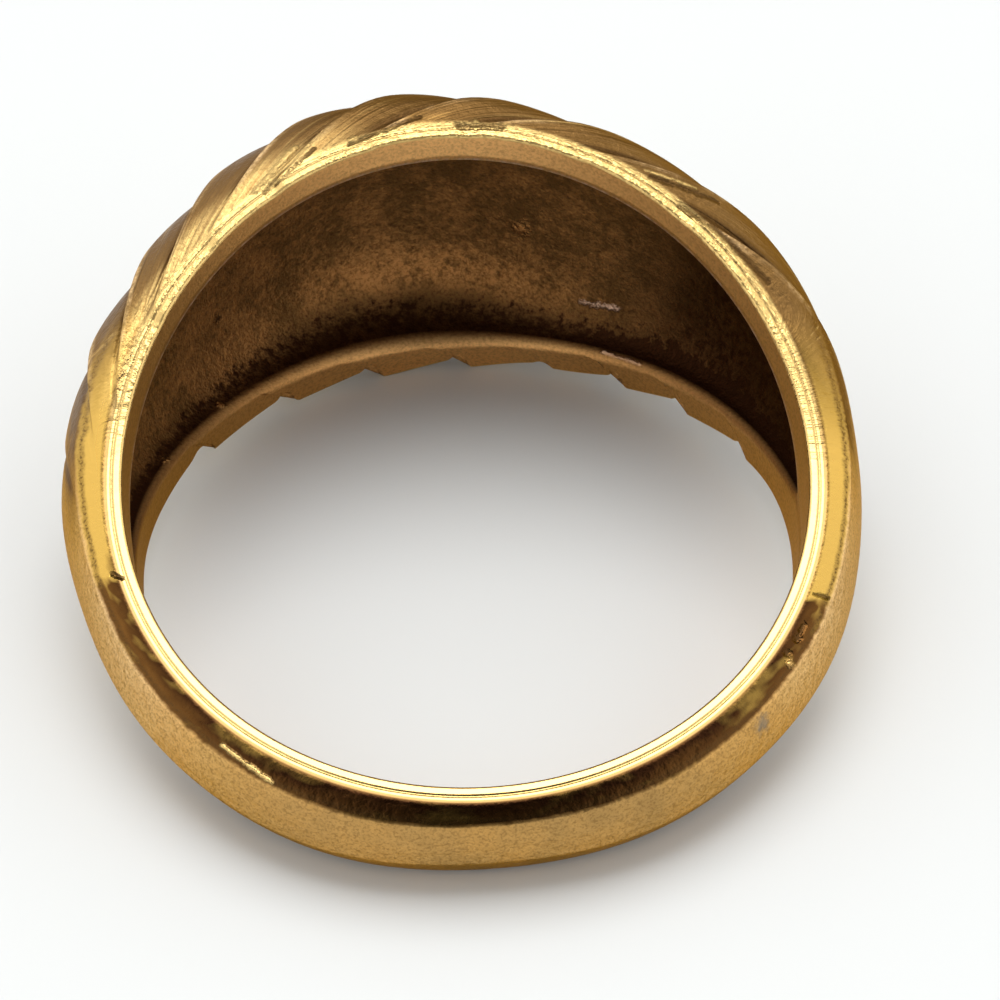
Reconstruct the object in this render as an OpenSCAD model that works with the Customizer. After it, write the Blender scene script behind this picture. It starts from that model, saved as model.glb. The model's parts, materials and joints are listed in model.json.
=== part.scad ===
// Dome ring: a plain band at the shank that widens into a domed top with
// slanting folds, hollowed out behind the dome.
// Millimetres and degrees. The ring is drawn about its finger axis first,
// angles counted from the middle of the dome, and then laid on its side.

/* [Bore] */
// radius of the finger hole
bore_radius = 8.65; // [8.4:0.05:8.9]

/* [Band] */
// width of the band in the middle of the dome
dome_width = 9.8; // [9.2:0.1:10.4]
// width of the band at the back of the shank
shank_width = 2.75; // [2.4:0.05:3.2]
// how fast the width falls away from the dome, higher is faster
width_power = 2.15; // [1.9:0.05:2.4]
// width of the flat rim beside the bore
rim_width = 0.38; // [0.3:0.02:0.5]
// fullness of the section over the finger, lower is fuller
section_power = 0.85; // [0.75:0.05:1]
// height added to the whole section
extra_height = 0; // [-0.1:0.05:0.3]

/* [Folds] */
// height of a crest above the smooth dome
fold_height = 0.17; // [0.08:0.01:0.2]
// lean of a fold from mid-width to either rim
fold_lean = 40; // [30:1:44]
// share of the lean that runs straight, the rest hooks near the rims
straight_share = 0.62; // [0.5:0.02:0.8]
// share of the fold height kept at the polished upper rim
upper_rim_share = 0.25; // [0:0.05:0.5]
// share of the fold height at the lower rim
lower_rim_share = 1.6; // [1:0.1:1.8]

/* [Hollow] */
// wall left over the hollow at the deepest place
wall = 1; // [0.85:0.05:1.2]
// half-width of the hollow in the middle of the dome
hollow_half = 3.97; // [3.6:0.05:4.1]
// angle from the middle of the dome to either tip of the hollow
hollow_reach = 112; // [96:1:112]

/* [Hidden] */

// height of the section over the bore: angle, height
crown_rows = [
    [-180, 1.35],
    [-150, 1.55],
    [-120, 1.45],
    [-95, 1.64],
    [-75, 2.15],
    [-55, 2.3],
    [-35, 3.04],
    [-15, 3.56],
    [0, 3.36],
    [15, 2.68],
    [35, 2.59],
    [55, 2.45],
    [75, 2.04],
    [95, 1.6],
    [120, 1.5],
    [150, 1.5],
];

// folds: angle of the crest at mid-width, strength of its notch in the lower rim
fold_rows = [
    [-106, 1],
    [-88, 1],
    [-73, 1],
    [-54.5, 1.1],
    [-37, 1],
    [-20.5, 0.4],
    [-5, 1],
    [9.5, 0.9],
    [27, 1],
    [45.5, 1],
    [64.5, 1],
    [82, 1],
    [100, 1],
];

// places across one fold where the section is drawn, crest first
fold_steps = [0.05, 0.17, 0.31, 0.46, 0.62, 0.79, 0.95];
// how the strand falls from its crest to the next groove
fold_fall = 1.6;
// angles where the relief starts to fade and where it is gone
relief_full = 55;
relief_gone = 88;
// angles where the lean starts to fade and where it is gone
lean_full = 70;
lean_gone = 140;
// section angles where the relief changes toward the upper and the lower rim
upper_blend = 70;
lower_blend = 60;
// sections drawn over the plain part of the shank
shank_steps = 31;
// step of the section angle, and the coarser one inside the bore
section_step = 6;
inner_step = 45;
// how far the blank reaches into the bore before it is cut
inner_margin = 1;

// hollow: step along the ring, step over its section, and its forms
hollow_step = 4;
hollow_end = 104;
hollow_section_step = 15;
hollow_taper = 1.34;
hollow_depth_taper = 0.4;
hollow_section_power = 0.7;
// reach of its straight sides below and above the bore's surface
hollow_overlap = 0.6;
hollow_side = 0.08;

// turn that puts the seam of the bore in the solid shank, clear of the hollow
seam_turn = -127.5;
// facets asked for on the bore
bore_facets = 180;
// more than the reach of the ring along the finger
bore_cut = 20;

// search for the lie on the floor: passes, halvings, ranges of tilt and roll
rest_passes = 3;
rest_halvings = 18;
tilt_range = [5, 20];
roll_range = [-6, 6];

gold = [0.83, 0.64, 0.3];

function smooth_step(x) = let (c = min(1, max(0, x))) c * c * (3 - 2 * c);
function wrapped(a) = a - 360 * floor((a + 180) / 360);

// crown height by a smooth curve through the rows, closed round the ring
crown_count = len(crown_rows);
function row_angle(i) = crown_rows[(i + crown_count) % crown_count][0] + 360 * floor(i / crown_count);
function row_height(i) = crown_rows[(i + crown_count) % crown_count][1];
function row_before(a, i) = i == crown_count - 1 || row_angle(i + 1) > a ? i : row_before(a, i + 1);
function row_slope(i) = (row_height(i + 1) - row_height(i - 1)) / (row_angle(i + 1) - row_angle(i - 1));
function crown(a) =
    let (
        at = wrapped(a),
        i = row_before(at, 0),
        span = row_angle(i + 1) - row_angle(i),
        t = (at - row_angle(i)) / span,
        from_here = (1 + 2 * t) * (1 - t) * (1 - t) * row_height(i),
        to_next = t * t * (3 - 2 * t) * row_height(i + 1),
        leaving = t * (1 - t) * (1 - t) * span * row_slope(i),
        arriving = t * t * (t - 1) * span * row_slope(i + 1)
    )
    from_here + to_next + leaving + arriving + extra_height;

function half_width(a) =
    (shank_width + (dome_width - shank_width) * pow((1 + cos(a)) / 2, width_power)) / 2;

// a column is one slanting section: angle at mid-width, relief, lower rim strength
fold_count = len(fold_rows) - 1;
first_fold = fold_rows[0][0];
last_fold = fold_rows[fold_count][0];
shank_span = 360 - (last_fold - first_fold);
fold_columns = [
    for (k = [0:fold_count - 1], x = fold_steps)
        [
            fold_rows[k][0] + x * (fold_rows[k + 1][0] - fold_rows[k][0]),
            1 - 2 * pow(x, fold_fall),
            fold_rows[k][1] + x * (fold_rows[k + 1][1] - fold_rows[k][1])
        ]
];
shank_columns = [
    for (i = [1:shank_steps])
        [wrapped(last_fold + i * shank_span / (shank_steps + 1)), 0, 1]
];
columns = concat(fold_columns, shank_columns);

function lean(s) =
    let (x = s / 90)
    -fold_lean * (straight_share * x + (1 - straight_share) * pow(x, 5));
function lean_kept(u) = 1 - smooth_step((abs(u) - lean_full) / (lean_gone - lean_full));
function angle_on(column, s) = column[0] + lean(s) * lean_kept(column[0]);
function rim_share(s, strength) =
    s > 0
        ? 1 - (1 - upper_rim_share) * smooth_step((s - upper_blend) / (90 - upper_blend))
        : 1 + (lower_rim_share * strength - 1) * smooth_step((-s - lower_blend) / (90 - lower_blend));
function relief(column, s) =
    fold_height * column[1] * rim_share(s, column[2])
    * (1 - smooth_step((abs(wrapped(angle_on(column, s))) - relief_full) / (relief_gone - relief_full)));

function around(r, a, z) = [r * sin(a), r * cos(a), z];
// point of the outer face, s is -90 at the lower rim and 90 at the upper rim
function outer_point(column, s) =
    let (
        a = angle_on(column, s),
        d = relief(column, s),
        rise = (crown(a) - rim_width) * pow(max(0, cos(s)), section_power)
    )
    around(bore_radius + rim_width + rise + d * cos(s), a, (half_width(a) + d) * sin(s));
// point of the blank inside the bore, at the height of the rim at both ends
function inner_point(column, s) =
    let (a = angle_on(column, s))
    around(bore_radius - inner_margin, a, (half_width(a) + relief(column, s)) * sin(s));
function bore_edge(column) =
    let (a = angle_on(column, -90))
    around(bore_radius, a, -(half_width(a) + relief(column, -90)));

outer_steps = [for (s = [-90:section_step:90]) s];
inner_steps = [for (s = [90:-inner_step:-90]) s];
loop_size = len(outer_steps) + len(inner_steps);
body_points = [
    for (column = columns)
        each concat(
            [for (s = outer_steps) outer_point(column, s)],
            [for (s = inner_steps) inner_point(column, s)]
        )
];

// triangles of a band of loops, closed on itself or capped at the ends
function band_faces(loops, size, closed) = [
    for (i = [0:loops - (closed ? 1 : 2)], j = [0:size - 1])
        let (
            next = (i + 1) % loops,
            up = (j + 1) % size,
            a = i * size + j,
            b = next * size + j,
            c = next * size + up,
            d = i * size + up
        )
        each [[a, b, c], [a, c, d]]
];

module body() {
    polyhedron(points = body_points, faces = band_faces(len(columns), loop_size, true));
}

// hollow behind the dome, open to the bore
function hollow_width(a) = hollow_half * pow(max(0, cos(90 * a / hollow_reach)), hollow_taper);
function hollow_depth(a) =
    (crown(a) - wall) * pow(hollow_width(a) / hollow_half, hollow_depth_taper);
hollow_floor = bore_radius + hollow_side;
hollow_steps = [for (s = [-90:hollow_section_step:90]) s];
function hollow_loop(a) =
    let (w = hollow_width(a), d = hollow_depth(a))
    concat(
        [around(bore_radius - hollow_overlap, a, -w)],
        [
            for (s = hollow_steps)
                around(hollow_floor + d * pow(max(0, cos(s)), hollow_section_power), a, w * sin(s))
        ],
        [around(bore_radius - hollow_overlap, a, w)]
    );
hollow_angles = [for (a = [-hollow_end:hollow_step:hollow_end]) a];
hollow_size = len(hollow_steps) + 2;
hollow_points = [for (a = hollow_angles) each hollow_loop(a)];
// each end runs out to a tip just inside the bore
tip_radius = bore_radius - hollow_overlap;
hollow_tips = [around(tip_radius, -hollow_reach, 0), around(tip_radius, hollow_reach, 0)];
first_tip = len(hollow_points);
last_loop = first_tip - hollow_size;

module hollow() {
    polyhedron(
        points = concat(hollow_points, hollow_tips),
        faces = concat(
            band_faces(len(hollow_angles), hollow_size, false),
            [for (j = [0:hollow_size - 1]) [j, (j + 1) % hollow_size, first_tip]],
            [
                for (j = [0:hollow_size - 1])
                    [last_loop + (j + 1) % hollow_size, last_loop + j, first_tip + 1]
            ]
        )
    );
}

module bore() {
    rotate(seam_turn)
        cylinder(h = bore_cut, r = bore_radius, center = true, $fn = bore_facets);
}

// lie on the floor: shank and dome touch, and the dome touches left and right
low_steps = [for (s = [-90:section_step:-45]) s];
low_points = concat(
    [for (column = columns, s = low_steps) outer_point(column, s)],
    [for (column = columns) bore_edge(column)]
);
front_points = [for (p = low_points) if (p[1] < 0) p];
left_points = [for (p = low_points) if (p[1] > 0 && p[0] < 0) p];
right_points = [for (p = low_points) if (p[1] > 0 && p[0] >= 0) p];
function height(p, tilt, roll) =
    cos(roll) * (p[1] * sin(tilt) + p[2] * cos(tilt)) - p[0] * sin(roll);
function lowest(points, tilt, roll) = min([for (p = points) height(p, tilt, roll)]);
function find_tilt(roll, low, high, n) =
    let (
        mid = (low + high) / 2,
        front = lowest(front_points, mid, roll),
        back = min(lowest(left_points, mid, roll), lowest(right_points, mid, roll))
    )
    n == 0 ? mid : front > back ? find_tilt(roll, mid, high, n - 1) : find_tilt(roll, low, mid, n - 1);
function find_roll(tilt, low, high, n) =
    let (
        mid = (low + high) / 2,
        left = lowest(left_points, tilt, mid),
        right = lowest(right_points, tilt, mid)
    )
    n == 0 ? mid : left < right ? find_roll(tilt, mid, high, n - 1) : find_roll(tilt, low, mid, n - 1);
function find_rest(roll, n) =
    let (
        tilt = find_tilt(roll, tilt_range[0], tilt_range[1], rest_halvings),
        next = find_roll(tilt, roll_range[0], roll_range[1], rest_halvings)
    )
    n == 1 ? [tilt, next] : find_rest(next, n - 1);
rest = find_rest(0, rest_passes);
rest_tilt = find_tilt(rest[1], tilt_range[0], tilt_range[1], rest_halvings);
rest_roll = rest[1];

function laid(p) =
    let (y = p[1] * cos(rest_tilt) - p[2] * sin(rest_tilt), z = p[1] * sin(rest_tilt) + p[2] * cos(rest_tilt))
    [p[0] * cos(rest_roll) + z * sin(rest_roll), y, z * cos(rest_roll) - p[0] * sin(rest_roll)];
laid_points = [for (column = columns, s = outer_steps) laid(outer_point(column, s))];
function middle(i) =
    (max([for (p = laid_points) p[i]]) + min([for (p = laid_points) p[i]])) / 2;
floor_height = lowest(low_points, rest_tilt, rest_roll);

module ring() {
    color(gold)
        translate([-middle(0), -middle(1), -floor_height])
            rotate([rest_tilt, rest_roll, 0])
                difference() {
                    body();
                    bore();
                    hollow();
                }
}

ring();
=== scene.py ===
import json
import math
import bmesh
import bpy
from mathutils import Matrix, Vector


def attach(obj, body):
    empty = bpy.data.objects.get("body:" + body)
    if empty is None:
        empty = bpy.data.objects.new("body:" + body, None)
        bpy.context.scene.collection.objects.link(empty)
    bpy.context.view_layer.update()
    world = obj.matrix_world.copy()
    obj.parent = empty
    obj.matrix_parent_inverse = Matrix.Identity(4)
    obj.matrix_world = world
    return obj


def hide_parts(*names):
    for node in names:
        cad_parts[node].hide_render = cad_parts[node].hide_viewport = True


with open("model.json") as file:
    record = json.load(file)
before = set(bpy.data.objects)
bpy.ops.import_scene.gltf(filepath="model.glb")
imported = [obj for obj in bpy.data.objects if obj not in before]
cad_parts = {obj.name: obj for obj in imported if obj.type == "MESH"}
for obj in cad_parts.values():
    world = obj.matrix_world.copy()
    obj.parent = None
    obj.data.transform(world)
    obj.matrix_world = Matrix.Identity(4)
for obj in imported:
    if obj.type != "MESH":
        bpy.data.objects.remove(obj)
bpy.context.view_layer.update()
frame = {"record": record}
from types import SimpleNamespace

mm = 0.001
degree = math.pi / 180
scene = bpy.context.scene

ringSizes = {  # millimetres and degrees, the same as the solid's
    "Bore radius": 8.65,
    "Rim width": 0.38,
    "Dome width": 9.8,
    "Shank width": 2.75,
    "Width power": 2.15,
    "Section power": 0.85,
    "Fold height": 0.17,
    "Fold lean": 40.0,
    "Straight share": 0.62,
    "Upper rim share": 0.12,
    "Lower rim share": 1.6,
    "Wall": 1.0,
    "Hollow half width": 3.97,
    "Hollow reach": 112.0,
    "Edge round": 0.09,
    "Facet low": 58.0,
    "Facet high": 86.0,
    "Facet share": 0.75,
    "Side share": 0.6,
    "Groove depth": 0.024,
}
crownRows = [  # angle from the middle of the dome, height of the section over the bore
    (-180, 1.35), (-150, 1.55), (-120, 1.45), (-95, 1.64), (-75, 2.15), (-55, 2.3),
    (-35, 3.04), (-15, 3.56), (0, 3.36), (15, 2.68), (35, 2.59), (55, 2.45),
    (75, 2.04), (95, 1.6), (120, 1.5), (150, 1.5),
]
foldRows = [  # angle of a crest at mid-width, strength of its notch in the lower rim
    (-106, 1), (-88, 1), (-73, 1), (-54.5, 1.1), (-37, 1), (-20.5, 0.4), (-5, 1),
    (9.5, 0.9), (27, 1), (45.5, 1), (64.5, 1), (82, 1), (100, 1),
]
foldShape = {
    "rise": 0.07, "fall": 1.6,  # share of a fold's width taken by its steep side, power of its gentle side
    "foot": 0.55, "footAt": 0.9, "footWidth": 0.1,  # extra dip at the foot of the gentle side
    "full": 55.0, "gone": 88.0,  # degrees from the middle of the dome where they start and end their fade
    "leanFull": 70.0, "leanGone": 140.0,  # the same for their lean
    "upperBlend": 70.0, "lowerBlend": 60.0,  # degrees over the section where they change towards the rims
}
stripShape = {"from": 62.0, "over": 25.0, "blend": 0.5}  # degrees where the shank's flat strips set in
rimShape = {"flat": 0.7, "grooveAt": 0.28, "grooveWidth": 0.12}  # shares of the rim's strip
hollowShape = {
    # powers that narrow it round the ring, that make it shallower there, and that round its section
    "taper": 1.34, "depthTaper": 0.4, "sectionPower": 0.7,
    "slide": 0.8,  # share of the folds' lean that the hollow follows
    "ends": (97.0, 90.5), "bluntPower": 14.0, "closePower": 0.7,  # degrees on the left and the right
    "lip": 0.08, "lipCosine": 0.05, "lipWidth": 0.3,  # upright step at the edge, and where it fades
    "maskCosine": 0.06, "maskWidth": 0.2,  # where the casting's look fades in
}
castingFrom = {"land": 2.05, "hollow": 0.02}  # where the second material starts, on the zone attribute
meshSteps = {"round": 600, "outer": 80, "rim": 18, "land": 4, "hollow": 32}  # faces round and across
crownOrder = 9  # waves round the ring that carry the crown's height
weld = 2e-7  # metres


class Wire:  # a node's output that can stand in a sum
    def __init__(self, tree, socket=None):
        self.tree = tree
        self.socket = socket

    def make(self, kind, settings=None, ins=None, out=0):  # any node, from its type, settings and inputs
        node = self.tree.nodes.new(kind)
        for name, value in (settings or {}).items():
            setattr(node, name, value)
        for key, value in (ins or {}).items():
            if isinstance(value, Wire):
                self.tree.links.new(value.socket, node.inputs[key])
            else:
                node.inputs[key].default_value = value
        return Wire(self.tree, node.outputs[out])

    def sum(self, operation, *values):
        return self.make("ShaderNodeMath", {"operation": operation}, dict(enumerate(values)))

    def __add__(self, other):
        return self.sum("ADD", self, other)

    def __radd__(self, other):
        return self.sum("ADD", other, self)

    def __sub__(self, other):
        return self.sum("SUBTRACT", self, other)

    def __rsub__(self, other):
        return self.sum("SUBTRACT", other, self)

    def __mul__(self, other):
        return self.sum("MULTIPLY", self, other)

    def __rmul__(self, other):
        return self.sum("MULTIPLY", other, self)

    def __truediv__(self, other):
        return self.sum("DIVIDE", self, other)

    def __pow__(self, other):
        return self.sum("POWER", self.sum("MAXIMUM", self, 0.0), other)

    def __neg__(self):
        return self.sum("MULTIPLY", self, -1.0)

    def __abs__(self):
        return self.sum("ABSOLUTE", self)

    def clamped(self):
        return self.sum("MINIMUM", self.sum("MAXIMUM", self, 0.0), 1.0)

    def smooth(self):  # soft step from 0 to 1
        c = self.clamped()
        return c * c * (3.0 - 2.0 * c)

    def ramp(self, first, width):  # 0 up to first, 1 from a width further
        return ((self - first) / width).clamped()

    def softRamp(self, first, width):
        return ((self - first) / width).smooth()

    def fall(self, last, width):  # 1 until a width before last, 0 from last
        return ((last - self) / width).clamped()

    def softFall(self, last, width):
        return ((last - self) / width).smooth()

    def softHump(self, middle, width):  # 1 in the middle, 0 a width away from it
        return (1.0 - abs(self - middle) / width).smooth()

    def scaled(self, gain, cut):
        return self * gain - cut

    def stretched(self, gain, cut):  # noise with more contrast, 0 to 1
        return self.scaled(gain, cut).clamped()

    def sine(self):  # of degrees
        return self.sum("SINE", self * degree)

    def cosine(self):
        return self.sum("COSINE", self * degree)

    def part(self, axis):  # x, y or z of a vector
        return self.make("ShaderNodeSeparateXYZ", None, {0: self}, axis)

    def xyz(self, x, y, z):  # a vector of three values
        return self.make("ShaderNodeCombineXYZ", None, {0: x, 1: y, 2: z})

    def vector(self, operation, ins, out="Vector"):
        return self.make("ShaderNodeVectorMath", {"operation": operation}, ins, out)


def crownAt(angle):  # smooth curve through the crown rows, closed round the ring
    count = len(crownRows)

    def row(i):
        return crownRows[i % count][0] + 360 * (i // count), crownRows[i % count][1]

    i = max(k for k in range(count) if crownRows[k][0] <= angle)
    (a0, h0), (a1, h1), (a2, h2), (a3, h3) = row(i - 1), row(i), row(i + 1), row(i + 2)
    span = a2 - a1
    t = (angle - a1) / span
    slopeHere, slopeNext = (h2 - h0) / (a2 - a0), (h3 - h1) / (a3 - a1)
    return ((1 + 2 * t) * (1 - t) ** 2 * h1 + t * t * (3 - 2 * t) * h2
            + t * (1 - t) ** 2 * span * slopeHere + t * t * (t - 1) * span * slopeNext)


def crownWaves(count):  # the same curve as waves round the ring: order, cosine share, sine share
    angles = range(-180, 180)
    heights = [crownAt(a) for a in angles]
    waves = [(0, sum(heights) / 360, 0.0)]
    for k in range(1, count + 1):
        cosShare = sum(h * math.cos(k * a * degree) for a, h in zip(angles, heights)) / 180
        sinShare = sum(h * math.sin(k * a * degree) for a, h in zip(angles, heights)) / 180
        waves.append((k, cosShare, sinShare))
    return waves


def foldRelief(column):  # 1 at a crest to -1 at a fold's end, and the depth of its notch in the lower rim
    relief = strength = None
    for (a, s), (b, t) in zip(foldRows, foldRows[1:]):
        x = ((column - a) / (b - a)).clamped()
        strand = (x / foldShape["rise"]).smooth() * (2.0 - 2.0 * x ** foldShape["fall"])
        strand = strand - x.softHump(foldShape["footAt"], foldShape["footWidth"]) * foldShape["foot"]
        relief = strand if relief is None else relief + strand
        strength = x * (t - s) + s if strength is None else strength + x * (t - s)
    return relief - 1.0, strength


def ringBands(start, size):  # the strips of the skin: outside, two rims, two lands, hollow
    bore, rim, edge = size["Bore radius"], size["Rim width"], size["Edge round"]
    position = start.make("GeometryNodeInputPosition")
    column = position.part(0) * 360.0  # angle of a column at mid-width
    across = position.part(1) + 0.5  # 0 to 1 over the rows of a band
    relief, strength = foldRelief(column)
    leanFull, leanGone = foldShape["leanFull"], foldShape["leanGone"]
    keep = 1.0 - abs(column).softRamp(leanFull, leanGone - leanFull)
    waves = crownWaves(crownOrder)

    def crown(angle):
        total = None
        for k, cosShare, sinShare in waves:
            if k == 0:
                total = angle * 0.0 + cosShare
            else:
                total = total + (angle * k).cosine() * cosShare + (angle * k).sine() * sinShare
        return total

    def halfWidth(angle):
        swell = ((angle.cosine() + 1.0) / 2.0) ** size["Width power"]
        return (size["Shank width"] + (size["Dome width"] - size["Shank width"]) * swell) / 2.0

    def fading(angle):
        return 1.0 - abs(angle).softRamp(foldShape["full"], foldShape["gone"] - foldShape["full"])

    def hollowWidth(angle):  # narrows slowly, then closes in a blunt point on each side
        left, right = hollowShape["ends"]
        end = (left + right) / 2.0 + angle.sum("SIGN", angle) * ((right - left) / 2.0)
        closing = (1.0 - (abs(angle) / end) ** hollowShape["bluntPower"]) ** hollowShape["closePower"]
        narrowing = (angle * 90.0 / size["Hollow reach"]).cosine() ** hollowShape["taper"]
        return size["Hollow half width"] * narrowing * closing

    def edgeHeight(angle, side):  # height of a rim over mid-width, with the fold that runs into it
        rimShare = size["Upper rim share"] if side > 0 else size["Lower rim share"] * strength
        return halfWidth(angle) + size["Fold height"] * relief * rimShare * fading(angle)

    def band(rows, radius, angle, height, zone):  # one strip, in the ring's own place
        strip = start.make("GeometryNodeMeshGrid", None, {
            "Size X": 1.0, "Size Y": 1.0, "Vertices X": meshSteps["round"] + 1, "Vertices Y": rows + 1})
        flow = (column, across * 4.0, 0.0)  # runs with the folds: degrees across them, then along them
        for name, values in (("zone", zone), ("flow", flow)):
            strip = start.make(
                "GeometryNodeStoreNamedAttribute", {"data_type": "FLOAT_VECTOR", "domain": "POINT"},
                {"Geometry": strip, "Name": name, "Value": start.xyz(*values)})
        point = start.xyz(radius * angle.sine() * mm, radius * angle.cosine() * mm, height * mm)
        return start.make("GeometryNodeSetPosition", None, {"Geometry": strip, "Position": point})

    def outerBand():  # from the lower rim to the upper
        s = across * 180.0 - 90.0
        x = s / 90.0
        lean = size["Straight share"] * x + (1.0 - size["Straight share"]) * (x * x * x * x * x)
        angle = column - lean * size["Fold lean"] * keep
        nearUpper = s.softRamp(foldShape["upperBlend"], 90.0 - foldShape["upperBlend"])
        nearLower = (-s).softRamp(foldShape["lowerBlend"], 90.0 - foldShape["lowerBlend"])
        share = 1.0 - (1.0 - size["Upper rim share"]) * nearUpper
        share = share + (size["Lower rim share"] * strength - 1.0) * nearLower
        fold = size["Fold height"] * relief * share * fading(angle)
        turn = abs(s)
        shank = abs(angle).softRamp(stripShape["from"], stripShape["over"])
        power, blend = size["Section power"], stripShape["blend"]

        def straightened(cosNow, sinNow, first, last, amount):  # flat strip between two angles
            along = ((turn - first) / (last - first)).clamped()
            inside = ((turn - first) / blend).clamped() * ((last - turn) / blend).clamped() * amount * shank
            flatCos = first.cosine() ** power * (1.0 - along) + last.cosine() ** power * along
            flatSin = first.sine() * (1.0 - along) + last.sine() * along
            return cosNow + (flatCos - cosNow) * inside, sinNow + (flatSin - sinNow) * inside

        low, high = size["Facet low"], size["Facet high"]
        section = straightened(turn.cosine() ** power, turn.sine(), low, high, size["Facet share"])
        sectionCos, sectionSin = straightened(*section, low * 0.0, low, size["Side share"])
        sectionSin = sectionSin * s.sum("SIGN", s)
        radius = bore + rim + (crown(angle) - rim) * sectionCos + fold * s.cosine()
        height = halfWidth(angle) * sectionSin + fold * s.sine()
        return band(meshSteps["outer"], radius, angle, height, (x, 0.0, relief))

    def rimBand(side):  # flat with a fine groove, then the rounded edge of the bore
        angle = column - keep * size["Fold lean"] * side
        flat = (across / rimShape["flat"]).clamped()
        turn = ((across - rimShape["flat"]) / (1.0 - rimShape["flat"])).clamped() * 90.0
        groove = across.softHump(rimShape["grooveAt"], rimShape["grooveWidth"]) * size["Groove depth"]
        radius = bore + edge + (rim - edge) * (1.0 - flat) - edge * turn.sine()
        height = (edgeHeight(angle, side) - groove - edge * (1.0 - turn.cosine())) * side
        return band(meshSteps["rim"], radius, angle, height, ((1.0 + across) * side, 0.0, 0.0))

    def landBand(side):  # the strip of the bore's wall beside the hollow
        angle = column - keep * size["Fold lean"] * side * (1.0 - across * (1.0 - hollowShape["slide"]))
        top = edgeHeight(angle, side) - edge
        height = (top * (1.0 - across) + hollowWidth(angle) * across) * side
        return band(meshSteps["land"], bore, angle, height, ((2.0 + across) * side, 0.0, 0.0))

    def hollowBand():  # from its upper edge to its lower
        s = 90.0 - across * 180.0
        angle = column - keep * size["Fold lean"] * s.sine() * hollowShape["slide"]
        width = hollowWidth(angle)
        opening = width / size["Hollow half width"]
        depth = (crown(angle) - size["Wall"]) * opening ** hollowShape["depthTaper"]
        lip = (s.cosine() / hollowShape["lipCosine"]).clamped() * (width / hollowShape["lipWidth"]).clamped()
        radius = bore + lip * hollowShape["lip"] + depth * s.cosine() ** hollowShape["sectionPower"]
        inside = (s.cosine() / hollowShape["maskCosine"]).clamped()
        inside = inside * (width / hollowShape["maskWidth"]).clamped()
        return band(meshSteps["hollow"], radius, angle, width * s.sine(), (s / 30.0, inside, 0.0))

    bands = [outerBand()]
    for side in (1.0, -1.0):
        bands += [rimBand(side), landBand(side)]
    return bands + [hollowBand()]


def ringTree():  # joins the strips, welds their seams and gives them their two materials
    tree = bpy.data.node_groups.new("ringShape", "GeometryNodeTree")
    tree.interface.new_socket("Geometry", in_out="OUTPUT", socket_type="NodeSocketGeometry")
    for name in ("Metal", "Casting"):
        tree.interface.new_socket(name, in_out="INPUT", socket_type="NodeSocketMaterial")
    for name, value in ringSizes.items():
        tree.interface.new_socket(name, in_out="INPUT", socket_type="NodeSocketFloat").default_value = value
    group, start = tree.nodes.new("NodeGroupInput"), Wire(tree)
    size = {name: Wire(tree, group.outputs[name]) for name in ringSizes}

    joined = start.make("GeometryNodeJoinGeometry")
    for strip in reversed(ringBands(start, size)):
        tree.links.new(strip.socket, joined.socket.node.inputs[0])
    welded = start.make("GeometryNodeMergeByDistance", None, {"Geometry": joined, "Distance": weld})
    smoothed = start.make("GeometryNodeSetShadeSmooth", None, {"Geometry": welded, "Shade Smooth": True})
    real = start.make("GeometryNodeRealizeInstances", None, {"Geometry": smoothed})
    metal = start.make("GeometryNodeSetMaterial", None, {
        "Geometry": real, "Material": Wire(tree, group.outputs["Metal"])})
    zone = start.make("GeometryNodeInputNamedAttribute", {"data_type": "FLOAT_VECTOR"}, {"Name": "zone"})
    onLand, inHollow = abs(zone.part(0)) - castingFrom["land"], zone.part(1) - castingFrom["hollow"]
    inner = start.make("FunctionNodeCompare", {"data_type": "FLOAT", "operation": "GREATER_THAN"}, {
        0: zone.sum("MAXIMUM", onLand, inHollow), 1: 0.0})
    cast = start.make("GeometryNodeSetMaterial", None, {
        "Geometry": metal, "Selection": inner, "Material": Wire(tree, group.outputs["Casting"])})
    tree.links.new(cast.socket, tree.nodes.new("NodeGroupOutput").inputs[0])
    return tree


def ringPlace():  # how the finger hole lies in the frame: tilt about X, then roll about Y
    hole = next(m for m in frame["record"]["mounts"] if m["name"] == "finger_hole")
    ax, ay, az = hole["axis"]
    return Vector(hole["pos_m"]), (-math.asin(ay), math.atan2(ax, az), 0.0)


def closeShell(mesh):  # fills small holes at the seams, turns the faces outwards, prints what stays uneven
    shell = bmesh.new()
    shell.from_mesh(mesh)
    bmesh.ops.dissolve_degenerate(shell, dist=weld, edges=shell.edges)
    bmesh.ops.delete(shell, geom=[e for e in shell.edges if not e.link_faces], context="EDGES")
    bmesh.ops.holes_fill(shell, edges=[e for e in shell.edges if len(e.link_faces) == 1], sides=0)
    bmesh.ops.recalc_face_normals(shell, faces=shell.faces)
    if shell.calc_volume(signed=True) < 0:
        bmesh.ops.reverse_faces(shell, faces=shell.faces)
    uneven = sum(1 for e in shell.edges if len(e.link_faces) != 2)
    volume = round(shell.calc_volume() / mm ** 3, 1)
    print("ring:", len(shell.faces), "faces,", volume, "mm3,", uneven, "edges without exactly two faces")
    shell.to_mesh(mesh)
    shell.free()


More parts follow.
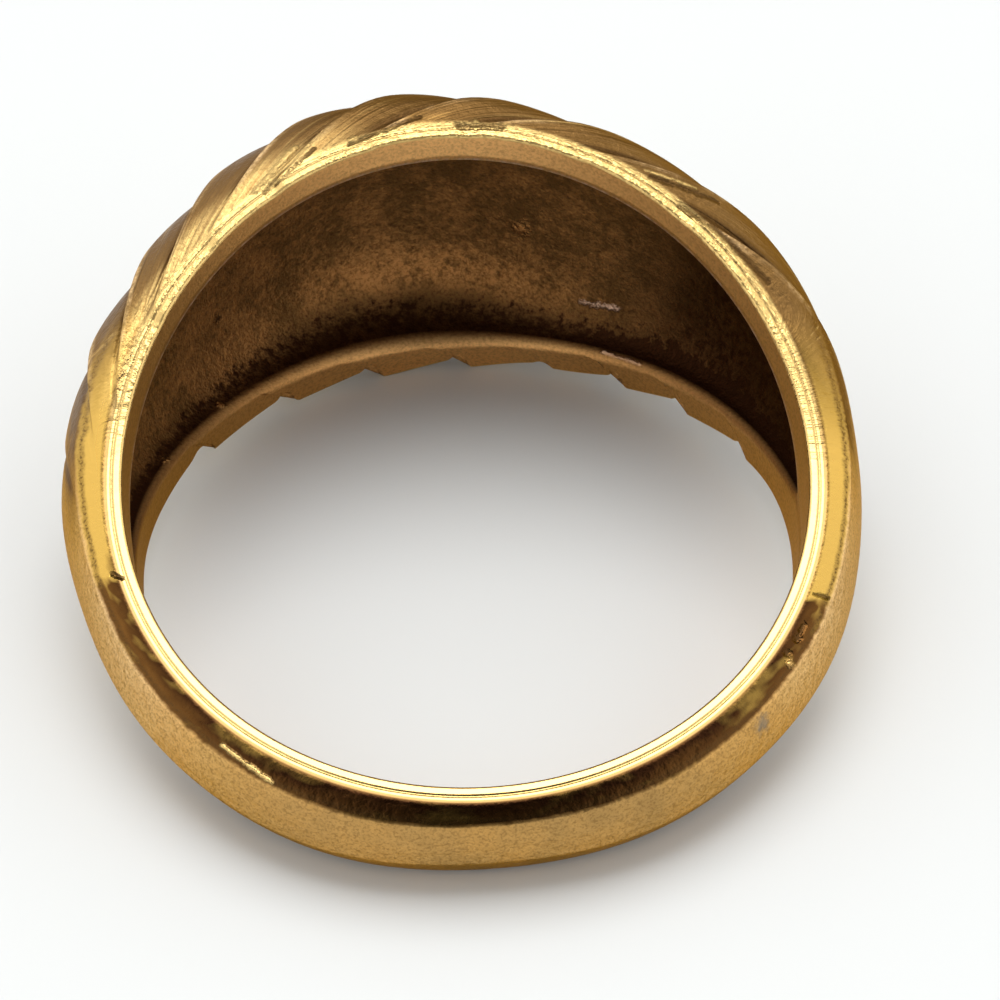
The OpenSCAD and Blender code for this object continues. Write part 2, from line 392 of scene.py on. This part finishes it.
def makeRing(metal, casting):
    tree = ringTree()
    seed = bpy.data.objects.new("ringSeed", bpy.data.meshes.new("ringSeed"))
    scene.collection.objects.link(seed)
    modifier = seed.modifiers.new("ringShape", "NODES")
    modifier.node_group = tree
    values = {"Metal": metal, "Casting": casting, **ringSizes}
    for socket in tree.interface.items_tree:
        if socket.in_out == "INPUT":
            modifier[socket.identifier] = values[socket.name]
    bpy.context.view_layer.update()
    shaped = seed.evaluated_get(bpy.context.evaluated_depsgraph_get())
    mesh = bpy.data.meshes.new_from_object(shaped)
    bpy.data.objects.remove(seed)
    place, turn = ringPlace()
    stand = Matrix.Translation(place) @ Matrix.Rotation(turn[1], 4, "Y") @ Matrix.Rotation(turn[0], 4, "X")
    mesh.transform(stand)
    closeShell(mesh)
    ring = bpy.data.objects.new("ringMetal", mesh)
    scene.collection.objects.link(ring)
    return ring


goldLook = {
    "polished": (0.76, 0.52, 0.19, 1.0),
    "amber": (0.66, 0.41, 0.09, 1.0),
    "satin": (0.68, 0.385, 0.115, 1.0),
    "pale": (0.72, 0.44, 0.15, 1.0),
    "hazy": (0.88, 0.64, 0.36, 1.0),
    # painted highlight along the folds' crests
    "crest": (0.82, 0.56, 0.28, 1.0),
    # olive-brown tarnish and dirt, also laid as painted shade on the dome's top and in the folds' valleys
    "olive": (0.165, 0.087, 0.028, 1.0),
    # dark brown of grooves and marks, also laid as painted shade in the folds' valleys, along the facet's
    # and rim's edges and in the rim's groove
    "groove": (0.09, 0.045, 0.015, 1.0),
    # base of the facet past the nicks: tarnish under a painted dark reflection
    "tarnishAndDarkReflection": (0.17, 0.075, 0.018, 1.0),
    # near black: crumbs and pits, painted shade in the hollow, and the darkest painted reflection on the
    # facet
    "sootAndShade": (0.040, 0.015, 0.006, 1.0),
    "grey": (0.24, 0.20, 0.15, 1.0),
    "land": (0.62, 0.335, 0.115, 1.0),
    "landTop": (0.86, 0.50, 0.19, 1.0),
    "landEdge": (0.75, 0.52, 0.38, 1.0),
    "cast": (0.172, 0.088, 0.028, 1.0),
    "copper": (0.44, 0.215, 0.070, 1.0),
    "shine": (0.60, 0.30, 0.10, 1.0),
    "grazing": (0.56, 0.40, 0.20, 1.0),  # the metal's tint at a low angle
}
noises = {  # scale per millimetre, detail, roughness
    "patches": (0.6, 2.0, 0.55),
    "grain": (5.0, 2.0, 0.6),
    "fine": (15.0, 1.0, 0.55),
    "streaks": (0.45, 3.0, 0.65),
    "blotch": (0.7, 2.0, 0.55),
    "pores": (4.0, 2.0, 0.75),
    "castGrain": (11.0, 1.0, 0.55),
}


def newMaterial(name):
    material = bpy.data.materials.new(name)
    material.use_nodes = True
    material.node_tree.nodes.clear()
    return material, Wire(material.node_tree)


def showSurface(surface, kind="ShaderNodeOutputMaterial"):
    surface.tree.links.new(surface.socket, surface.tree.nodes.new(kind).inputs["Surface"])


def mixed(factor, a, b):
    return factor.make("ShaderNodeMix", {"data_type": "RGBA"}, {0: factor, 6: a, 7: b}, 2)


def coated(colour, factor, name):  # a colour of the table over what is there
    return mixed(factor, colour, goldLook[name])


def noiseOf(place, name):
    scale, detail, rough = noises[name]
    return place.make("ShaderNodeTexNoise", None, {
        "Vector": place, "Scale": scale, "Detail": detail, "Roughness": rough}, "Fac")


def ringFrame(start):  # the ring's own millimetres, and the angle round it from the middle of the dome
    place, turn = ringPlace()
    coords = start.make("ShaderNodeTexCoord", None, None, "Object")
    own = start.make("ShaderNodeMapping", {"vector_type": "TEXTURE"}, {
        "Vector": coords, "Location": place, "Rotation": turn, "Scale": (mm, mm, mm)})
    return own, start.sum("ARCTAN2", own.part(0), own.part(1)) / degree


def attribute(start, name):
    return start.make("ShaderNodeAttribute", {"attribute_name": name}, None, "Vector")


def dress(material, colour, metallic, roughness, height):
    start = Wire(material.node_tree)
    bump = start.make("ShaderNodeBump", None, {"Strength": 1.0, "Distance": mm, "Height": height}, "Normal")
    showSurface(start.make("ShaderNodeBsdfPrincipled", None, {
        "Base Color": colour, "Metallic": metallic, "Specular Tint": goldLook["grazing"],
        "Roughness": roughness, "Normal": bump}))
    return material


marks = [  # kind, half width, one point or the points of a line, in the ring's own millimetres
    ("ridge", 0.13, (-5.00, 7.62, 4.30), (-3.91, 8.95, 4.52)),
    ("groove", 0.09, (-4.80, 7.55, 4.33), (-3.72, 8.71, 4.63)),
    ("ridge", 0.11, (-4.63, 7.87, 4.38), (-3.56, 8.85, 4.66)),
    ("groove", 0.09, (-4.47, 7.69, 4.37), (-3.43, 8.67, 4.65)),
    ("lump", 0.24, (-3.23, 9.38, 4.57)),
    ("ridge", 0.18, (-2.42, 8.84, 4.75)),
    ("groove", 0.12, (-2.50, 8.68, 4.74), (-0.58, 9.37, 4.91)),
    ("pit", 0.16, (0.40, 9.02, 4.89), (1.56, 8.92, 4.84)),
    ("ridge", 0.11, (0.90, 9.14, 4.87)),
    ("ridge", 0.07, (5.29, 7.63, 4.27), (6.59, 7.19, 3.95)),
    ("groove", 0.11, (5.38, 7.42, 4.22), (7.16, 6.85, 3.73)),
    ("pit", 0.13, (6.09, 6.59, 3.95), (6.98, 5.90, 3.71), (8.20, 4.44, 3.22)),
    ("nick", 0.09, (-8.89, -2.40, 1.76), (-8.62, -2.55, 1.76)),
    ("nick", 0.09, (8.27, -4.13, 1.56), (8.65, -4.18, 1.41)),
    ("pit", 0.13, (7.68, -5.32, 1.43), (7.91, -4.93, 1.47)),
    ("pit", 0.16, (7.41, -5.67, 1.42)),
    ("lump", 0.17, (7.45, -5.90, 1.34)),
    ("smudge", 0.36, (6.60, -7.28, 0.92)),
    ("ridge", 0.09, (-6.26, -7.11, 1.29), (-5.13, -8.11, 1.23)),
]
hollowMarks = [
    ("lump", 0.38, (2.22, 10.28, -0.81)),
    ("pit", 0.24, (-6.58, 7.94, -1.25)),
    ("lump", 0.18, (-6.68, 6.06, -2.84)),
    ("lump", 0.18, (-8.11, 3.65, -2.01)),
    ("ridge", 0.13, (3.90, 9.03, -2.80), (4.96, 8.51, -2.58)),
    ("ridge", 0.12, (4.47, 7.67, -3.50), (5.41, 6.96, -3.25)),
]
markHeights = {"groove": -0.06, "ridge": 0.05, "lump": 0.07, "pit": -0.06, "nick": -0.09, "smudge": 0.0}
# raised marks get a painted highlight and sunken ones painted shade; the smudge is grey
goldMarkColours = {
    "groove": "groove", "ridge": "polished", "lump": "pale",
    "pit": "groove", "nick": "groove", "smudge": "grey",
}
hollowMarkColours = {"groove": "sootAndShade", "ridge": "landEdge", "lump": "copper", "pit": "sootAndShade"}
markStrength = 0.85


def lineMask(own, points, width, ragged):  # 1 on a point or a line, falling to 0 near the half width
    if len(points) == 1:
        nearest = own.vector("DISTANCE", {0: own, 1: points[0]}, "Value")
    else:
        nearest = None
    for a, b in zip(points, points[1:]):
        step = Vector(b) - Vector(a)
        away = own.vector("SUBTRACT", {0: own, 1: a})
        along = own.vector("DOT_PRODUCT", {0: away, 1: step / step.length_squared}, "Value").clamped()
        foot = own.vector("SCALE", {0: step, 3: along})
        gap = own.vector("DISTANCE", {0: away, 1: foot}, "Value")
        nearest = gap if nearest is None else gap.sum("MINIMUM", nearest, gap)
    return (ragged - nearest / width).smooth()


def addMarks(own, table, colour, names, ragged):  # paints the marks, with a painted highlight on the raised ones and painted shade in the sunken ones, and returns their height too
    height = None
    for kind in markHeights:
        masks = [lineMask(own, points, width, ragged) for k, width, *points in table if k == kind]
        if masks:
            mask = masks[0]
            for other in masks[1:]:
                mask = mask.sum("MAXIMUM", mask, other)
            colour = coated(colour, mask * markStrength, names[kind])
            if markHeights[kind]:
                height = mask * markHeights[kind] if height is None else height + mask * markHeights[kind]
    return colour, height


goldPlaces = {
    # where a change starts and how wide it is, in degrees from the middle of the dome
    "foldsEnd": (76.0, 20.0),
    "shoulderEnd": (72.0, 28.0),
    "domeEnd": (55.0, 30.0), "domeLonger": 10.0,  # the dark skin goes further on the right
    "rightward": (-5.0, 30.0),
    "leftward": (-10.0, 20.0),
    "topEnd": (35.0, 35.0), "topMiddle": 12.0,  # the painted shade on the top of the dome is darkest round here
    "backOlive": (125.0, 30.0),
    "farBack": (112.0, 36.0),
    "haze": (112.0, 30.0),  # middle and half width
    "filed": (-106.5, 118.0, 2.5),  # both ends of the bright stretch between the nicks, and their softness
    # the same over the width, from 0 at the middle of the outside to 1 at a rim and 2 in the bore
    "rubbed": (0.22, 0.28),
    "darkEnd": (0.82, 0.13), "darkFurther": 0.15,
    "outerDark": (0.88, 0.24),
    "bright": (0.82, 0.12),
    "facet": (0.63, 0.07),
    "ragged": (0.70, 0.1), "raggedBy": 16.0,  # degrees
    "facetEdge": (0.72, 0.07),
    "rimEdge": (0.975, 0.035),
    "rim": (0.97, 0.03),
    "rimCorner": (1.0, 0.06),
    "rimGroove": (1.28, 0.12),
    # the same over a fold's height, from 1 at its crest to -1 at its foot
    "crest": (0.78, 0.16),
    "valley": (0.45, 1.1),
    "foot": (-0.05, 0.7),
    "outerFace": (0.95, 0.6),
}
goldGrain = {  # gain and cut that turn a noise into spots or lines
    "pale": (3.0, 1.1),
    "speck": (5.0, 2.3),
    "dirtAndShade": (2.8, 1.05),
    "crestPatches": (5.0, 2.1), "crestGrain": (3.0, 0.9),
    "brightLines": (6.0, 2.1),
    "darkLines": (10.0, 5.7),
    "paleLines": (-10.0, -3.9),  # where the noise is low
    "amberLines": (7.0, 3.6),
    "topShade": (1.8, 0.15),
    "skinDark": (2.0, -0.05),
    "outerStreaks": (0.9, -0.25),
    "backPatches": (0.8, 0.1),
    "marks": (1.6, -0.2),
}
goldCoats = {  # how strongly each coat covers
    "haze": 0.5,
    "tarnishAndShade": 0.92,
    "foot": 0.92,
    "crest": 0.7, "leftCrest": 0.5,
    "bright": 0.9,
    "darkLines": 0.6,
    "paleLines": 0.45,
    "dirtAndShade": 0.14,
    "speck": 0.38,
    "amber": 0.75,
    "facetEdge": 0.5, "facetEdgeSpeck": 0.4,
    "rimCorner": 0.7,
    "rimGroove": 0.15, "rimGrooveSpeck": 0.3, "rimGrooveRight": 0.3,
    "edgeShadeDull": 0.5, "darkShadeDull": 0.45,  # share of the metal's gleam that the painted shade and tarnish on the left folds take
}
facetDarkReflection = {"from": 0.62, "edge": 3.2, "streaks": 1.8, "far": 0.5, "cut": 1.2}  # a painted dark reflection over the tarnish, deepening towards the rim and the back
goldShares = {  # how much of a coat is missing there
    "offTop": 0.55,
    "darkRubbed": 0.75,
    "footRubbed": 0.45,
    "linesRubbed": 0.6,
    "amberFar": 0.55,
}
goldSurface = {"roughness": 0.36, "grain": 0.04, "streaks": 0.02, "domeStreaks": 0.05}  # heights in mm
goldRougher = {"grain": 0.10, "onRim": -0.18, "onFacet": -0.14, "tarnishAndShade": 0.08, "bright": -0.12}
goldSmoother = {"onFacet": 0.6, "onRim": 0.85, "bright": 0.6}  # share of the grain's height rubbed off
goldDrawn = (1.0, 1.0, 7.0)  # narrows the streaks across the shank's band
goldWander = {"grain": 0.05, "streaks": 0.10, "rimGroove": 0.2}  # how far an edge strays over the width


def goldMasks(start):  # where each wear and finish of the outside and the rims lies
    own, angle = ringFrame(start)
    zone = attribute(start, "zone")
    side = abs(zone.part(0))
    patches, grain, fine = (noiseOf(own, name) for name in ("patches", "grain", "fine"))
    relief = zone.part(2) * (1.0 - abs(angle).softRamp(*goldPlaces["foldsEnd"]))
    rightward = angle.softRamp(*goldPlaces["rightward"])
    dome = 1.0 - (abs(angle) - rightward * goldPlaces["domeLonger"]).softRamp(*goldPlaces["domeEnd"])
    shoulder = 1.0 - abs(angle).softRamp(*goldPlaces["shoulderEnd"])
    leftward = angle.softFall(*goldPlaces["leftward"]) * shoulder

    # streaks run along the folds on the dome, and along the band on the shank
    drawn = start.make("ShaderNodeMapping", None, {"Vector": own, "Scale": goldDrawn})
    flow = start.make("ShaderNodeMix", {"data_type": "VECTOR"}, {
        0: dome, 4: drawn, 5: attribute(start, "flow")}, 1)
    streaks = noiseOf(flow, "streaks")
    edge = side + (grain - 0.5) * goldWander["grain"] + (streaks - 0.5) * goldWander["streaks"]

    onRim = side.softRamp(*goldPlaces["rim"])
    onFacet = edge.softRamp(*goldPlaces["facet"]) * (1.0 - onRim) * (1.0 - dome)
    rubbed = 1.0 - side.softRamp(*goldPlaces["rubbed"])  # the middle of the dome's face is worn bright
    nearRim = (side - rightward * goldPlaces["darkFurther"]).softRamp(*goldPlaces["darkEnd"])
    # olive darkening, partly tarnish and partly painted shade: on the dome's top, in the folds' valleys and
    # on the skin away from the rims
    offTop = abs(angle - goldPlaces["topMiddle"]).softRamp(*goldPlaces["topEnd"])
    top = dome * (1.0 - offTop * goldShares["offTop"])
    tarnishAndShade = top * streaks.scaled(*goldGrain["topShade"]) + relief.softFall(*goldPlaces["valley"]) * shoulder
    tarnishAndShade = tarnishAndShade + (1.0 - nearRim) * shoulder * streaks.scaled(*goldGrain["skinDark"])
    tarnishAndShade = tarnishAndShade.clamped() * (1.0 - rubbed * goldShares["darkRubbed"])
    # painted shade on the left folds, away from the rims and off their crests
    outerDark = relief.softFall(*goldPlaces["outerFace"]) * side.fall(*goldPlaces["outerDark"])
    outerDark = outerDark * (1.0 - rubbed) * leftward
    bright = side.softRamp(*goldPlaces["bright"]) * leftward * streaks.stretched(*goldGrain["brightLines"])
    return SimpleNamespace(
        own=own, angle=angle, side=side, edge=edge, relief=relief,
        patches=patches, grain=grain, speck=fine.stretched(*goldGrain["speck"]), streaks=streaks,
        rightward=rightward, leftward=leftward, dome=dome, onRim=onRim, onFacet=onFacet,
        rubbed=rubbed, tarnishAndShade=tarnishAndShade, outerDark=outerDark, bright=bright)


def sideColour(at):  # satin shank, and folds that are gold on top and brown between: painted highlights on their crests, painted shade towards their feet
    colour = mixed(at.patches.stretched(*goldGrain["pale"]), goldLook["satin"], goldLook["pale"])
    colour = coated(colour, abs(at.angle).softHump(*goldPlaces["haze"]) * goldCoats["haze"], "hazy")
    atBack = abs(at.angle).softRamp(*goldPlaces["backOlive"])
    colour = coated(colour, atBack * at.patches.scaled(*goldGrain["backPatches"]), "olive")
    # olive tarnish with painted shade on the dome's top and in the valleys
    colour = coated(colour, at.tarnishAndShade * goldCoats["tarnishAndShade"], "olive")
    # painted shade towards the foot of each fold, lighter in the rubbed middle of the dome
    footShade = at.relief.softFall(*goldPlaces["foot"])
    colour = coated(colour, footShade * (goldCoats["foot"] - at.rubbed * goldShares["footRubbed"]), "groove")
    # painted shade on the left folds, in streaks
    colour = coated(colour, at.outerDark * at.streaks.scaled(*goldGrain["outerStreaks"]), "groove")
    brokenUp = at.patches.stretched(*goldGrain["crestPatches"]) + at.leftward * goldCoats["leftCrest"]
    brokenUp = brokenUp * at.grain.stretched(*goldGrain["crestGrain"])
    # painted highlight along the crests, broken into patches
    onCrestHighlight = at.relief.softRamp(*goldPlaces["crest"])
    colour = coated(colour, onCrestHighlight * brokenUp * goldCoats["crest"], "crest")
    colour = coated(colour, at.bright * goldCoats["bright"], "polished")
    scored = at.dome * (1.0 - at.rubbed * goldShares["linesRubbed"])
    darkLines = at.streaks.stretched(*goldGrain["darkLines"]) * scored
    paleLines = at.streaks.stretched(*goldGrain["paleLines"]) * scored
    colour = coated(colour, darkLines * goldCoats["darkLines"], "groove")
    colour = coated(colour, paleLines * goldCoats["paleLines"], "polished")
    dirtAndShade = at.grain.stretched(*goldGrain["dirtAndShade"]) * goldCoats["dirtAndShade"]
    return coated(colour, dirtAndShade + at.speck * goldCoats["speck"], "olive")


def facetColour(at):  # strip beside the shank's rim: amber between the nicks, past them tarnish under a painted dark reflection
    far = abs(at.angle).ramp(*goldPlaces["farBack"])
    # painted dark reflection, deepening towards the rim and the back into near black
    depth = (at.edge - facetDarkReflection["from"]) * facetDarkReflection["edge"] + at.streaks * facetDarkReflection["streaks"]
    depth = depth + far * facetDarkReflection["far"] - facetDarkReflection["cut"]
    tarnishReflection = coated(goldLook["tarnishAndDarkReflection"], depth.clamped(), "sootAndShade")
    amber = goldCoats["amber"] - far * goldShares["amberFar"]
    tarnishReflection = coated(tarnishReflection, at.streaks.stretched(*goldGrain["amberLines"]) * amber, "amber")
    left, right, soft = goldPlaces["filed"]
    ragged = (at.streaks - 0.5) * goldPlaces["raggedBy"] * at.edge.ramp(*goldPlaces["ragged"])
    filed = ((at.angle - left + ragged) / soft).clamped() * ((right - at.angle + ragged) / soft).clamped()
    facet = coated(tarnishReflection, filed, "amber")
    # painted shade lines along both edges of the facet, speckled
    edges = at.edge.softHump(*goldPlaces["facetEdge"]) + at.side.softHump(*goldPlaces["rimEdge"])
    strength = goldCoats["facetEdge"] + at.speck * goldCoats["facetEdgeSpeck"]
    return coated(facet, edges.clamped() * strength, "groove")


def goldMetal():  # outside and rims
    material, start = newMaterial("wornGold")
    at = goldMasks(start)
    colour = mixed(at.onFacet, sideColour(at), facetColour(at))
    colour = coated(colour, at.onRim, "polished")
    # painted shade in the rim's groove, speckled, stronger on the right of the dome
    wandering = at.side + (at.streaks - 0.5) * goldWander["rimGroove"]
    inGroove = at.onRim * wandering.softHump(*goldPlaces["rimGroove"])
    strength = goldCoats["rimGroove"] + at.speck * goldCoats["rimGrooveSpeck"]
    strength = strength + at.rightward * at.dome * goldCoats["rimGrooveRight"]
    colour = coated(colour, inGroove * strength, "groove")
    # painted shade line on the corner between the skin and the rim, away from the dome
    onCorner = at.side.softHump(*goldPlaces["rimCorner"]) * (1.0 - at.dome)
    colour = coated(colour, onCorner * goldCoats["rimCorner"], "groove")
    colour, height = addMarks(at.own, marks, colour, goldMarkColours, at.grain.scaled(*goldGrain["marks"]))

    roughness, bumpy = goldSurface["roughness"], 1.0
    for name, amount in goldRougher.items():
        roughness = roughness + getattr(at, name) * amount
    for name, share in goldSmoother.items():
        bumpy = bumpy - getattr(at, name) * share
    height = height + at.grain * goldSurface["grain"] * bumpy
    height = height + at.streaks * (goldSurface["streaks"] + at.dome * goldSurface["domeStreaks"])
    # less metal where the left folds carry painted shade and tarnish
    dirtAndShade = (at.outerDark * goldCoats["edgeShadeDull"] + at.tarnishAndShade * goldCoats["darkShadeDull"]) * at.leftward
    return dress(material, colour, 1.0 - dirtAndShade.clamped(), roughness, height)


castPlaces = {
    # where a change starts and how wide it is, in degrees from the middle of the dome
    "leftSheen": (-42.0, 24.0),
    "copperReach": (0.0, 32.0),
    "rightDark": (22.0, 26.0),
    "leftDark": (-64.0, 22.0),
    "landTop": (0.0, 40.0),
    "landDark": (-35.0, 25.0),
    "lipEnd": (94.0, 8.0),
    # the same over the hollow, from 3 at its upper edge to -3 at its lower one
    "copper": (-1.4, 0.8),
    # painted shade in the lower part of the hollow
    "lowerShade": (1.8, 0.7),
    "upperDark": (1.5, 1.2),
    "lip": (2.88, 0.07),  # over the land, from 2 at the rim to 3 at the hollow
}
castCoats = {  # how strongly each coat covers
    "leftSheen": 0.3,
    "leftDark": 0.7,
    "upperDark": 0.7,
    "crumbs": 0.45,
    "landTop": 0.9,
    "landDark": 0.3,
    "landGrain": 0.35,
}
castSurface = {"roughness": 0.42, "pores": 0.04, "grain": 0.012}  # heights in mm
castRougher = {"grain": 0.1, "hollow": 0.08}
castGrain = {  # gain and cut that turn a noise into spots
    "crumbs": (4.0, 1.9),
    "lip": (2.4, 0.7),
    "landGrain": (3.0, 1.2),
    "marks": (2.2, 0.1),
}
castBlend = {  # how pores and blotches share in a colour, and the level where it starts
    "copperPores": 2.0, "copperBlotch": 2.0, "copperFrom": 1.75,
    "shinePores": 3.0, "shineFrom": 1.3,
    "darkRagged": 1.5, "darkPores": 0.4,
}


def castHollow():  # the bore's wall beside the hollow, and the rough casting in it
    material, start = newMaterial("castHollow")
    own, angle = ringFrame(start)
    zone = attribute(start, "zone")
    place, hollow = zone.part(0), zone.part(1)
    blotch, pores, grain = (noiseOf(own, name) for name in ("blotch", "pores", "castGrain"))

    leftSheen = angle.softHump(*castPlaces["leftSheen"]) * castCoats["leftSheen"]
    coppery = pores * castBlend["copperPores"] + blotch * castBlend["copperBlotch"] - castBlend["copperFrom"]
    inner = coated(goldLook["cast"], (coppery + leftSheen).clamped(), "copper")
    shining = place.softHump(*castPlaces["copper"]) * angle.softHump(*castPlaces["copperReach"])
    glint = (pores * castBlend["shinePores"] + blotch - castBlend["shineFrom"]).clamped()
    inner = coated(inner, shining * glint, "shine")
    # near black over the hollow: painted shade in its lower part, and darker towards its right, left and
    # upper edges, broken up by the pores
    lowerFrom, lowerWidth = castPlaces["lowerShade"]
    sootAndShade = ((-place - lowerFrom + (pores - 0.5) * castBlend["darkRagged"]) / lowerWidth).smooth()
    sootAndShade = sootAndShade + angle.softRamp(*castPlaces["rightDark"])
    sootAndShade = sootAndShade + angle.softFall(*castPlaces["leftDark"]) * castCoats["leftDark"]
    sootAndShade = sootAndShade + place.softRamp(*castPlaces["upperDark"]) * castCoats["upperDark"]
    inner = coated(inner, (sootAndShade * (pores + castBlend["darkPores"])).clamped(), "sootAndShade")
    inner = coated(inner, grain.stretched(*castGrain["crumbs"]) * castCoats["crumbs"], "sootAndShade")
    inner, height = addMarks(own, hollowMarks, inner, hollowMarkColours, pores.scaled(*castGrain["marks"]))

    nearTop, onLeft = angle.softHump(*castPlaces["landTop"]), angle.softFall(*castPlaces["landDark"])
    land = coated(goldLook["land"], nearTop * castCoats["landTop"], "landTop")
    land = coated(land, onLeft * castCoats["landDark"], "olive")
    lipShine = place.softRamp(*castPlaces["lip"]) * abs(angle).fall(*castPlaces["lipEnd"])
    land = coated(land, lipShine * pores.stretched(*castGrain["lip"]), "landEdge")
    land = coated(land, grain.stretched(*castGrain["landGrain"]) * castCoats["landGrain"], "olive")

    roughness = castSurface["roughness"] + grain * castRougher["grain"] + hollow * castRougher["hollow"]
    height = (height + pores * castSurface["pores"]) * hollow + grain * castSurface["grain"]
    return dress(material, mixed(hollow, land, inner), 1.0, roughness, height)


floorLook = {"size": 1.6, "paper": (0.72, 0.735, 0.728, 1.0)}  # metres, pale grey


def makeFloor():
    material, start = newMaterial("palePaper")
    showSurface(start.make("ShaderNodeBsdfDiffuse", None, {"Color": floorLook["paper"]}))
    half = floorLook["size"] / 2
    mesh = bpy.data.meshes.new("floor")
    corners = [(-half, -half, 0), (half, -half, 0), (half, half, 0), (-half, half, 0)]
    mesh.from_pydata(corners, [], [(0, 1, 2, 3)])
    mesh.materials.append(material)
    floor = bpy.data.objects.new("floor", mesh)
    scene.collection.objects.link(floor)


roomLight = {
    "ceiling": 4.4, "sides": 1.4, "behind": 0.40, "front": 0.03, "desk": 0.7,  # strengths
    "sideFront": 0.9,  # share of the sides' strength that is left towards the front
    "ceilingWay": (0.0, 0.26, 0.966), "ceilingEdge": (26.0, 18.0),  # its direction, and degrees from it
    # start and width of each edge along the light's direction: across for the sides, up for the desk
    "sideEdge": (0.22, 0.3),
    "sideFrontEdge": (-0.02, 0.3),
    "behindEdge": (-0.05, 0.3),
    "deskEdge": (0.42, 0.25),
}


def makeRoom():  # bright ceiling and sides, dim behind, and dark at the front, where the camera stands
    world = bpy.data.worlds.new("room")
    world.use_nodes = True
    world.node_tree.nodes.clear()
    start = Wire(world.node_tree)
    way = start.make("ShaderNodeTexCoord", None, None, "Generated")
    up = way.vector("DOT_PRODUCT", {0: way, 1: roomLight["ceilingWay"]}, "Value")
    outer, inner = (math.cos(a * degree) for a in roomLight["ceilingEdge"])
    onDesk = way.part(2).softFall(*roomLight["deskEdge"])
    level = roomLight["front"] + (roomLight["desk"] - roomLight["front"]) * onDesk
    level = level + (roomLight["behind"] - level) * way.part(1).softRamp(*roomLight["behindEdge"])
    frontShare = roomLight["sideFront"]
    onSide = abs(way.part(0)).softRamp(*roomLight["sideEdge"])
    onSide = onSide * (frontShare + way.part(1).softRamp(*roomLight["sideFrontEdge"]) * (1.0 - frontShare))
    level = level + (roomLight["sides"] - level) * onSide
    level = level + (roomLight["ceiling"] - level) * up.softRamp(outer, inner - outer)
    light = start.make("ShaderNodeBackground", None, {"Color": (1.0, 1.0, 1.0, 1.0), "Strength": level})
    showSurface(light, "ShaderNodeOutputWorld")
    scene.world = world


cameraView = {  # millimetres, degrees; lens and sensor as a camera's, clip in metres
    "place": (-1.8076, -42.2263, 43.0759), "turn": (46.1886, 0.4489, -4.2163),
    "lens": 79.2077, "sensor": 36.0, "clip": (0.001, 10.0),
}


def makeCamera():
    camera = bpy.data.cameras.new("photoView")
    camera.lens = cameraView["lens"]
    camera.sensor_width = cameraView["sensor"]
    camera.sensor_fit = "HORIZONTAL"
    camera.clip_start, camera.clip_end = cameraView["clip"]
    holder = bpy.data.objects.new("photoView", camera)
    holder.location = Vector(cameraView["place"]) * mm
    holder.rotation_euler = [a * degree for a in cameraView["turn"]]
    scene.collection.objects.link(holder)
    scene.camera = holder


makeCamera()
makeFloor()
makeRoom()
scene.view_settings.view_transform = "Standard"
print("camera, floor and room set")

ring = makeRing(goldMetal(), castHollow())
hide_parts("ring")
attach(ring, "root")
print("ring dressed")
